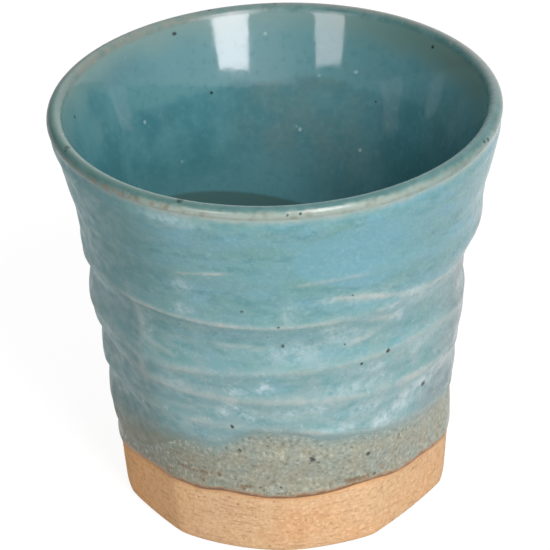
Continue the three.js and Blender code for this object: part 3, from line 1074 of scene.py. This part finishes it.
def lip_colour(tree, place):
    across, along = axis(tree, place, "X"), axis(tree, place, "Y")
    ragged = clouds(tree, place, (1.6, 3), 0.3, 0.7, -0.04, 0.04)
    over = calc(tree, "ADD", mark_on(tree, "over_lip"), ragged)
    behind = fade(tree, along, -14, 22)
    in_front = fade(tree, behind, 0, 1, 1.0, 0.0)
    patchy = clouds(tree, place, (2.4, 3), 0.3, 0.6, 0.5, 1.0)
    sandy = product(tree, behind, fade(tree, across, 8, -26, 0.15, 1.0),
                    fade(tree, over, 0.42, 0.6, 0.25, 1.0), patchy)
    bare = product(tree, fade(tree, over, 0.1, 0.36, 0.75, 0.0), fade(tree, across, 18, 42, 1.0, 0.5),
                   fade(tree, across, -40, -18, 0.45, 1.0))
    worn = lay(tree, LIP_BEIGE, [
        (clouds(tree, place, (2, 3), 0.42, 0.7), LIP_TAN),
        (fade(tree, across, -22, -40, 0.0, 0.6), LIP_BROWN),
    ])
    grey = product(tree, behind, fade(tree, across, -12, 16), fade(tree, over, 0.78, 0.55), patchy)
    green = product(tree, in_front, fade(tree, across, -2, -24), fade(tree, over, 0.16, 0.5))
    rubbed = product(tree, fade(tree, over, 0.26, 0.34), fade(tree, over, 0.38, 0.46, 0.7, 0.0),
                     fade(tree, along, 4, 24))
    flecks = product(tree, dots(tree, place, 2.2, 0.28, 0.4), fade(tree, over, 0.1, 0.5, 0.6, 0.1))
    return lay(tree, LIP_TOP, [
        (clouds(tree, place, (3, 3), 0.35, 0.7), LIP_TOP_PALE),
        (sandy, LIP_SAND),
        (bare, worn),
        (grey, LIP_GREY),
        (green, LIP_GREEN),
        (rubbed, LIP_BROWN),
        (flecks, LIP_BROWN),
        (specks(tree, place, LIP_FLECKS, on_lip, 0.55), LIP_RUST),
        (specks(tree, place, LIP_SPECKS, on_lip), LIP_IRON),
    ])


print(len(LIP_SPECKS), "specks and", len(LIP_FLECKS), "rusty flecks on the lip")

# %% [markdown]
# ## Lining glaze
# Inside, the glaze is smooth and glossy. It is greener near the lip, where it is thin, and near the lip on
# the right painted shade makes it darker and olive. Further down it is teal, greyer in the middle of the
# back, and darker on the right by painted shade. High on the back wall it is lighter above a line, partly
# in the glaze and partly by painted light, and low down it is darker below a slanting line. Pinholes and
# grains of iron leave a few tiny marks.

# %% Finish of the lining
LINING_GREEN = (0.14, 0.235, 0.225)
# colour of the painted shade near the lip on the right, darker and olive
LINING_OLIVE_SHADE = (0.07, 0.135, 0.11)
LINING_TEAL = (0.046, 0.158, 0.182)
LINING_LIGHT = (0.074, 0.207, 0.233)
LINING_DARKER = (0.062, 0.128, 0.122)
LINING_GREY = (0.098, 0.175, 0.18)
# colour of the painted shade on the right inner wall
LINING_SHADE_RIGHT = (0.02, 0.1, 0.118)
LINING_LOWER = (0.085, 0.225, 0.25)
LINING_UPPER = (0.1, 0.235, 0.255)
LINING_PALE = (0.3, 0.42, 0.43)
LINING_IRON = (0.02, 0.035, 0.035)
LINING_TINT = (1, 0.93, 0.97, 1)  # of what it mirrors
UPPER_LINE = 73.6  # mm up, above which the lining is lighter, partly in its glaze and partly by painted light
DARK_LINE = 48.2  # mm up on the axis, below which it is darker
DARK_LINE_SLANT = 0.25
LINING_SPECKS = [
    (-151, 86, 0.5), (-159, 72.6, 0.4), (-97.5, 83.5, 0.4), (128, 86, 0.4), (144, 71.6, 0.3), (60, 52, 0.4),
    (-30, 35, 0.5),
]
PALE_SPECKS = [
    (-178, 83.1, 0.4), (-131.6, 71.5, 0.4), (152.8, 76.6, 0.4), (147.7, 60.7, 0.4), (171, 63.3, 0.4),
]


def lining_glaze():
    material, tree, shader = new_finish("lining_glaze")
    place = place_on(tree)
    across, height = axis(tree, place, "X"), axis(tree, place, "Z")
    high = calc(tree, "ADD", height, clouds(tree, place, (9,), 0.3, 0.7, -1, 1))
    slant = calc(tree, "ADD", height, product(tree, across, DARK_LINE_SLANT))
    mottle = lumps(tree, place, 1.5, 4, 0.6)
    middle = product(tree, fade(tree, across, -16, 2), fade(tree, across, 30, 12),
                     fade(tree, height, 50, 62, 0.35, 1.0),
                     clouds(tree, place, (6, 3), 0.3, 0.65, 0.3, 0.8))
    # painted shade on the right inner wall, from below the lip downwards
    deep = product(tree, fade(tree, across, 14, 34, 0.0, 0.55), fade(tree, height, 78, 64))
    lower = product(tree, fade(tree, height, 62, 50, 0.0, 0.9), fade(tree, across, 16, 0))
    # lighter above a line high on the back wall: partly the glaze, partly painted light
    upper = product(tree, fade(tree, high, UPPER_LINE - 1.2, UPPER_LINE + 1.2, 0.0, 0.8),
                    fade(tree, across, -36, -20, 0.3, 1.0), fade(tree, across, 26, 8, 0.5, 1.0))
    # painted shade near the lip on the right, which makes it darker and olive
    olive = product(tree, fade(tree, across, 6, 32), fade(tree, high, 80, 86, 0.0, 0.55))
    near_lip = fade(tree, mark_on(tree, "over_lip"), 0.84, 1.0, 1.0, 0.0)
    colour = lay(tree, LINING_TEAL, [
        (clouds(tree, place, (9, 3), 0.34, 0.7), LINING_LIGHT),
        (middle, LINING_GREY),
        (deep, LINING_SHADE_RIGHT),
        (lower, LINING_LOWER),
        (upper, LINING_UPPER),
        (fade(tree, mottle, 0.5, 0.7, 0.0, 0.35), LINING_UPPER),
        (fade(tree, mottle, 0.48, 0.3, 0.0, 0.4), LINING_TEAL),
        (fade(tree, high, 80, 88), LINING_GREEN),
        (olive, LINING_OLIVE_SHADE),
        (fade(tree, slant, DARK_LINE - 0.4, DARK_LINE + 0.5, 0.9, 0.0), LINING_DARKER),
        (dots(tree, place, 5, 0.4, 0.4, 0.35), LINING_PALE),
        (specks(tree, place, PALE_SPECKS, in_hollow, 0.6), LINING_PALE),
        (specks(tree, place, LINING_SPECKS, in_hollow), LINING_IRON),
        (near_lip, lip_colour(tree, place)),
    ])
    roughness = clouds(tree, place, (3,), 0.3, 0.7, 0.06, 0.1)
    finish_with(tree, shader, colour, product(tree, roughness, fade(tree, near_lip, 0, 1, 1.0, 3.5)))
    shader.inputs["Specular Tint"].default_value = LINING_TINT
    relief(tree, shader, lumps(tree, place, 4, 2), 0.04, 0.4)
    return material


put_on(lining, lining_glaze())

# %% [markdown]
# ## Grey-green glaze
# The first coat fired to a thin satin grey-green, full of cream and brown grains from the clay below,
# and more olive on the left. Here and there iron ran into short brown smears, each made as a row of
# spots. Its rolled lower edge burnt to a reddish brown line.

# %% Finish of the first coat
BAND = (0.27, 0.268, 0.205)
BAND_CREAM = (0.42, 0.42, 0.345)
BAND_DARK = (0.13, 0.135, 0.1)
BAND_TEAL = (0.2, 0.285, 0.275)
BAND_OLIVE = (0.125, 0.13, 0.076)
BAND_RUST = (0.23, 0.13, 0.06)
BAND_BROWN = (0.16, 0.095, 0.045)
BAND_EDGE = (0.32, 0.17, 0.08)
BAND_BURNT = (0.115, 0.06, 0.026)
BAND_SPECKS = [
    (2, 27.6, 0.4), (8.7, 23.6, 0.75), (28, 22.2, 0.7), (22, 24.8, 0.36), (31, 16.4, 0.48), (-15, 26, 0.55),
    (-11, 25.4, 0.34), (5.5, 21.2, 0.32), (-28, 19.6, 0.45), (-33, 19.2, 0.4), (-20, 22, 0.32),
    (-2, 17, 0.4), (-7.5, 16.2, 0.32), (6, 14.9, 0.38), (43, 20.4, 0.34), (96, 21, 0.5), (128, 19, 0.4),
    (150, 23, 0.5), (-175, 20, 0.4), (-140, 18.4, 0.5), (-112, 19.6, 0.4), (-72, 18, 0.4),
]
BROWN_SMEARS = [  # degrees where it starts and ends, mm up, radius in mm
    (19, 28, 16.4, 0.75), (-38, -23, 18.6, 0.6), (-18, -12, 16.8, 0.5), (-44, -37, 21.6, 0.5),
    (-4, 1, 15.6, 0.4), (49, 53, 19.4, 0.4), (104, 116, 17, 0.5), (-128, -116, 16.5, 0.5),
]
SMEAR_STEP = 1.4  # degrees between the spots of a smear


def grey_green_glaze():
    material, tree, shader = new_finish("grey_green_glaze")
    place = place_on(tree)
    across = axis(tree, place, "X")
    above = mark_on(tree, "above_foot")
    edge = calc(tree, "ADD", above, clouds(tree, place, (2, 3), 0.3, 0.7, -0.35, 0.35))
    near_second = fade(tree, mark_on(tree, "below_second"), -1.0, 3.5, 0.9, 0.0)
    near_lip = fade(tree, mark_on(tree, "below_lip"), 0.0, 2.4, 1.0, 0.0)
    patchy = clouds(tree, place, (4, 3), 0.4, 0.64, 0.0, 0.4)
    fine = lumps(tree, place, 0.9, 4, 0.65)
    rust = product(tree, clouds(tree, place, (2, 4, 0.65), 0.53, 0.66),
                   fade(tree, above, 1.0, 8.0, 0.7, 0.12))
    spots = [(degrees, up, radius) for start, end, up, radius in BROWN_SMEARS
             for degrees in climb(start, end, SMEAR_STEP)]
    smears = product(tree, specks(tree, place, spots, on_wall), fade(tree, fine, 0.4, 0.62, 0.9, 0.35))
    colour = lay(tree, BAND, [
        (calc(tree, "MAXIMUM", near_second, patchy), BAND_TEAL),
        (fade(tree, across, -36, -8, 0.7, 0.0), BAND_OLIVE),
        (fade(tree, fine, 0.5, 0.7, 0.0, 0.85), BAND_CREAM),
        (fade(tree, fine, 0.48, 0.3, 0.0, 0.85), BAND_DARK),
        (rust, BAND_RUST),
        (dots(tree, place, 1.7, 0.36, 0.5, 0.75), BAND_BURNT),
        (smears, BAND_BROWN),
        (specks(tree, place, BAND_SPECKS, on_wall), IRON),
        (fade(tree, edge, 0.5, 1.4, 1.0, 0.0), BAND_EDGE),
        (fade(tree, edge, 0.25, 0.85, 0.7, 0.0), BAND_BURNT),
        (near_lip, lip_colour(tree, place)),
    ])
    glossy_lip = product(tree, near_lip, fade(tree, across, -40, -14, 0.1, 1.0))
    roughness = clouds(tree, place, (1.5, 3), 0.3, 0.7, 0.3, 0.45)
    finish_with(tree, shader, colour, product(tree, roughness, fade(tree, glossy_lip, 0, 1, 1.0, 0.35)))
    shader.inputs["Specular IOR Level"].default_value = 0.42
    relief(tree, shader, fine, 0.1, 0.5)
    return material


put_on(first_coat, grey_green_glaze())

# %% [markdown]
# ## Turquoise glaze
# The second coat is a glossy, cloudy turquoise. It breaks to pale sage on the crests, where the thin
# glaze also carries a painted highlight for the light the crests catch, deepens in the grooves, and
# carries milky flecks, most of them low on the wall and on the right. A grey sheen is painted on the
# right side, for the room mirrored at a grazing angle. The left has painted shade and is less glossy,
# and runs out murky and olive at its lower edge.

# %% Finish of the second coat
TURQUOISE = (0.145, 0.3, 0.32)
TURQUOISE_GREEN = (0.135, 0.285, 0.285)
TURQUOISE_BLUE = (0.14, 0.312, 0.366)
TURQUOISE_DEEP = (0.09, 0.235, 0.255)
# colour of the painted grey sheen on the right, for the room mirrored at a grazing angle
TURQUOISE_GREY_SHEEN = (0.148, 0.188, 0.202)
# colour of the painted shade on the left
TURQUOISE_SHADE = (0.086, 0.196, 0.198)
TURQUOISE_MILKY = (0.27, 0.35, 0.35)
THIN_OLIVE = (0.175, 0.185, 0.135)
MILKY = (0.45, 0.55, 0.575)
# crest colour: thin glaze with a painted highlight
SAGE_AND_HIGHLIGHT = (0.425, 0.445, 0.415)
IRON_SPECKS = [
    (-11, 62.1, 0.45), (0, 52.9, 0.55), (-4, 55.5, 0.32), (19, 51.5, 0.42), (24, 46.2, 0.4),
    (33.5, 46.9, 0.52), (54, 32, 0.8), (-16.5, 32.4, 0.45), (26, 31.6, 0.34), (20, 64.5, 0.36),
    (-1, 58.5, 0.28), (105, 50, 0.5), (140, 68, 0.45), (172, 38, 0.6), (-168, 57, 0.4), (-130, 44, 0.5),
    (-100, 61, 0.45), (-78, 35, 0.4),
]


def turquoise_glaze():
    material, tree, shader = new_finish("turquoise_glaze")
    place, along = place_on(tree), place_on(tree, 2.4)
    across, height = axis(tree, place, "X"), axis(tree, place, "Z")
    # painted shade on the left, where the glaze is also duller
    shaded_dull_left = mark_on(tree, "shaded_dull_left")
    low_down = fade(tree, height, 72, 36)
    hue = lumps(tree, along, 9, 3)
    fine = lumps(tree, place, 0.8, 4, 0.65)
    clear = fade(tree, shaded_dull_left, 0, 0.5, 1.0, 0.45)
    bluer = product(tree, fade(tree, hue, 0.5, 0.66), fade(tree, low_down, 0, 1, 1.0, 0.4))
    deep = product(tree, clouds(tree, along, (4, 4), 0.42, 0.66),
                   fade(tree, mark_on(tree, "pooled"), 0.2, 1.0, 0.1, 0.8))
    veil = product(tree, clouds(tree, along, (5, 3), 0.35, 0.68, 0.1, 0.65),
                   fade(tree, shaded_dull_left, 0, 1, 1.0, 0.85), low_down)
    murky = product(tree, shaded_dull_left, fade(tree, height, 30, 18, 0.0, 0.6))
    cloudy = product(tree, mark_on(tree, "pale"),
                     clouds(tree, place, (1.8, 4, 0.65), 0.36, 0.62, 0.15, 1.0))
    flecks = product(tree, clouds(tree, place, (1.3, 3, 0.6), 0.58, 0.72, 0.0, 0.45),
                     clouds(tree, along, (6,), 0.42, 0.62), fade(tree, low_down, 0, 1, 0.25, 1.0))
    crests = product(tree, mark_on(tree, "crest"),
                     clouds(tree, place, (1.4, 4, 0.6), 0.34, 0.62, 0.55, 1.0))
    ragged = clouds(tree, place, (1.6, 3), 0.3, 0.7, -0.6, 0.6)
    edge = calc(tree, "ADD", mark_on(tree, "above_edge"), ragged)
    thin = paint(tree, shaded_dull_left, BAND_TEAL, THIN_OLIVE)
    under_lip = calc(tree, "ADD", mark_on(tree, "below_lip"), product(tree, ragged, 0.6))
    lip_edge = product(tree, fade(tree, under_lip, 0.2, 2.4, 0.8, 0.0),
                       fade(tree, across, -42, -20, 0.1, 1.0))
    colour = lay(tree, TURQUOISE, [
        (bluer, TURQUOISE_BLUE),
        (fade(tree, hue, 0.48, 0.36), TURQUOISE_GREEN),
        (deep, TURQUOISE_DEEP),
        (product(tree, mark_on(tree, "blue"), 0.75), TURQUOISE_BLUE),
        # painted shade on the left side
        (product(tree, shaded_dull_left, 0.7), TURQUOISE_SHADE),
        # painted grey sheen on the right, for the room mirrored at a grazing angle
        (product(tree, mark_on(tree, "grey_sheen_right"), 0.88), TURQUOISE_GREY_SHEEN),
        (veil, TURQUOISE_MILKY),
        (murky, THIN_OLIVE),
        (cloudy, MILKY),
        (flecks, MILKY),
        (product(tree, clear, fade(tree, fine, 0.5, 0.72, 0.0, 0.18)), MILKY),
        (product(tree, clear, fade(tree, fine, 0.48, 0.28, 0.0, 0.25)), TURQUOISE_DEEP),
        # pale crests: thin glaze, and a painted highlight where they catch the light
        (crests, SAGE_AND_HIGHLIGHT),
        (specks(tree, place, IRON_SPECKS, on_wall), IRON),
        (fade(tree, edge, 0.3, 3.2, 1.0, 0.0), thin),
        (lip_edge, LIP_BEIGE),
    ])
    roughness = clouds(tree, place, (2.5, 3), 0.3, 0.7, 0.2, 0.32)
    finish_with(tree, shader, colour, product(tree, roughness, fade(tree, shaded_dull_left, 0, 0.4, 1.0, 1.9)))
    shader.inputs["Specular IOR Level"].default_value = 0.32
    relief(tree, shader, lumps(tree, place, 1.6, 3), 0.1, fade(tree, shaded_dull_left, 0, 0.4, 0.45, 0.25))
    return material


put_on(second_coat, turquoise_glaze())

# %% [markdown]
# ## Joining the frame
# Each new piece stands for one CAD piece. It rides on the only body and hides the faceted solid that it
# replaces. Its finish already bears the name that is listed as its slot.

# %% Ride and replace
for piece, node, slot in [
    (clay, "clay_body", "bare_clay"),
    (lining, "liner_glaze", "lining_glaze"),
    (first_coat, "first_glaze_coat", "grey_green_glaze"),
    (second_coat, "second_glaze_coat", "turquoise_glaze"),
]:
    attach(piece, "root")
    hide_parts(node)
    print(piece.name, "stands for", node)

# %% [markdown]
# ## Floor
# The cup stands on a plain white floor. What the camera and the glossy glaze see of it is mostly an
# even white, so that it reads as paper, with enough real shading left to keep the cup's shadow.

# %% Floor
FLOOR_SIZE = 8  # metres
FLOOR_GREY = (0.6, 0.6, 0.6)  # as it lights the cup
FLOOR_WHITE = (1, 1, 1)  # as it is seen
FLOOR_GLOW = 0.85  # share of even white in what is seen
FLOOR_LEVEL = 1.06  # of that white

bpy.ops.object.select_all(action="DESELECT")
bpy.ops.mesh.primitive_plane_add(size=FLOOR_SIZE, location=(0, 0, 0))
floor = bpy.context.object
floor.name = "floor"


def seen_directly(tree):
    """1 for what the camera sees, straight, mirrored or through glass, and 0 for light that bounces."""
    path = tree.nodes.new("ShaderNodeLightPath")
    seen = calc(tree, "MAXIMUM", path.outputs["Is Camera Ray"], path.outputs["Is Glossy Ray"])
    return calc(tree, "MAXIMUM", seen, path.outputs["Is Transmission Ray"])


def white_floor():
    material, tree, shader = new_finish("white_floor")
    seen = seen_directly(tree)
    tree.links.new(paint(tree, seen, FLOOR_GREY, FLOOR_WHITE), shader.inputs["Base Color"])
    shader.inputs["Roughness"].default_value = 1.0
    shader.inputs["Specular IOR Level"].default_value = 0.0
    glow = add(tree, "Emission", {"Color": (1, 1, 1, 1), "Strength": FLOOR_LEVEL})
    share = product(tree, seen, FLOOR_GLOW)
    mixed = add(tree, "MixShader", {0: share, 1: shader.outputs[0], 2: glow})
    tree.links.new(mixed, tree.nodes["Material Output"].inputs["Surface"])
    return material


put_on(floor, white_floor())

# %% [markdown]
# ## Light
# A tall, bright softbox on the right and a weaker one on the left mirror as two patches in the hollow.
# A weak fill behind the cup, which nothing mirrors, keeps its back from going dark in other views.

# %% Softboxes
SOFTBOXES = [
    # name, degrees round to the right, degrees up, width and height in metres, watts, whether mirrored
    ("right_softbox", 23.5, 36.2, 0.38, 0.86, 13.2, True),
    ("left_softbox", -34, 28, 0.32, 0.5, 3.1, True),
    ("back_fill", 188, 12, 1.2, 0.4, 5, False),
]
SOFTBOX_DISTANCE = 1.2  # metres
lit_point = Vector((0, 0, CUP_HEIGHT / 2))

for name, degrees, up, width, tall, watts, mirrored in SOFTBOXES:
    lamp = bpy.data.lights.new(name, "AREA")
    lamp.shape = "RECTANGLE"
    lamp.size, lamp.size_y, lamp.energy = width, tall, watts
    softbox = bpy.data.objects.new(name, lamp)
    softbox.visible_camera = softbox.visible_glossy = mirrored
    bpy.context.scene.collection.objects.link(softbox)
    turned, raised = math.radians(degrees), math.radians(up)
    level = math.cos(raised)
    away = Vector((math.sin(turned) * level, -math.cos(turned) * level, math.sin(raised)))
    softbox.location = lit_point + away * SOFTBOX_DISTANCE
    softbox.rotation_euler = away.to_track_quat("Z", "Y").to_euler()
    print(name, "at", [round(v, 2) for v in softbox.location])

# %% [markdown]
# ## Room
# A pale room fills the shadows, more from the right than from the left. The camera sees it as plain
# white, and glossy surfaces mirror it as a bright studio tent that is open on the left and dimmer
# far round on the right. One world does all three, because a node says which kind of ray is asking.

# %% Room
ROOM_LIGHT = 0.75  # on its bright side
ROOM_DIM_SIDE = 0.04  # share of that on the left
ROOM_TURN = (-0.8, 0.8)  # from left to right, -1 to 1, where its light changes
TENT_LIGHT = 1.5  # the room as glossy surfaces mirror it
TENT_TURN = (-0.6, 0.2)
TENT_END = (0.2, 0.9)  # where it gets dimmer again
TENT_AT_END = 0.55  # share that is left there

world = bpy.data.worlds.new("studio")
bpy.context.scene.world = world
world.use_nodes = True


def room_strength(tree):
    """White for the camera, and for other rays brighter on the right than on the left."""
    to_right = axis(tree, add(tree, "TexCoord", {}, "Generated"), "X")
    lit = fade(tree, to_right, *ROOM_TURN, ROOM_LIGHT * ROOM_DIM_SIDE, ROOM_LIGHT)
    tent = fade(tree, to_right, *TENT_TURN, TENT_LIGHT * ROOM_DIM_SIDE, TENT_LIGHT)
    tent = product(tree, tent, fade(tree, to_right, *TENT_END, 1.0, TENT_AT_END), seen_directly(tree))
    path = tree.nodes.new("ShaderNodeLightPath")
    unseen = calc(tree, "SUBTRACT", 1.0, path.outputs["Is Camera Ray"])
    strength = product(tree, calc(tree, "MAXIMUM", lit, tent), unseen)
    return calc(tree, "ADD", strength, path.outputs["Is Camera Ray"])


background = world.node_tree.nodes["Background"]
background.inputs["Color"].default_value = (1, 1, 1, 1)
world.node_tree.links.new(room_strength(world.node_tree), background.inputs["Strength"])
bpy.context.scene.view_settings.view_transform = "Standard"
print("room lit from", ROOM_LIGHT * ROOM_DIM_SIDE, "on the left to", ROOM_LIGHT, "on the right")

# %% [markdown]
# ## Camera
# A long lens looks down on the cup from the front at about thirty degrees. The focal length was
# estimated in the photograph's pixels, and is turned into millimetres on Blender's usual sensor. The
# camera is rolled by the small tilt of the photograph.

# %% Camera
IMAGE_SIDE = 550  # pixels
FOCAL_PIXELS = 4000
SENSOR_WIDTH = 36  # millimetres
CAMERA_DISTANCE = 0.8387  # metres from what it is aimed at
CAMERA_UP = math.radians(29.85)
CAMERA_ROLL = math.radians(-1.84)
AIM = Vector((-0.001, 0, 0.0469))

camera = bpy.data.objects.new("camera", bpy.data.cameras.new("camera"))
bpy.context.scene.collection.objects.link(camera)
camera.data.sensor_width = SENSOR_WIDTH
camera.data.lens = SENSOR_WIDTH * FOCAL_PIXELS / IMAGE_SIDE
backwards = Vector((0, -math.cos(CAMERA_UP), math.sin(CAMERA_UP)))
turned = backwards.to_track_quat("Z", "Y").to_matrix().to_4x4() @ Matrix.Rotation(CAMERA_ROLL, 4, "Z")
camera.matrix_world = Matrix.Translation(AIM + backwards * CAMERA_DISTANCE) @ turned
bpy.context.scene.camera = camera
print("lens", round(camera.data.lens, 1), "mm")
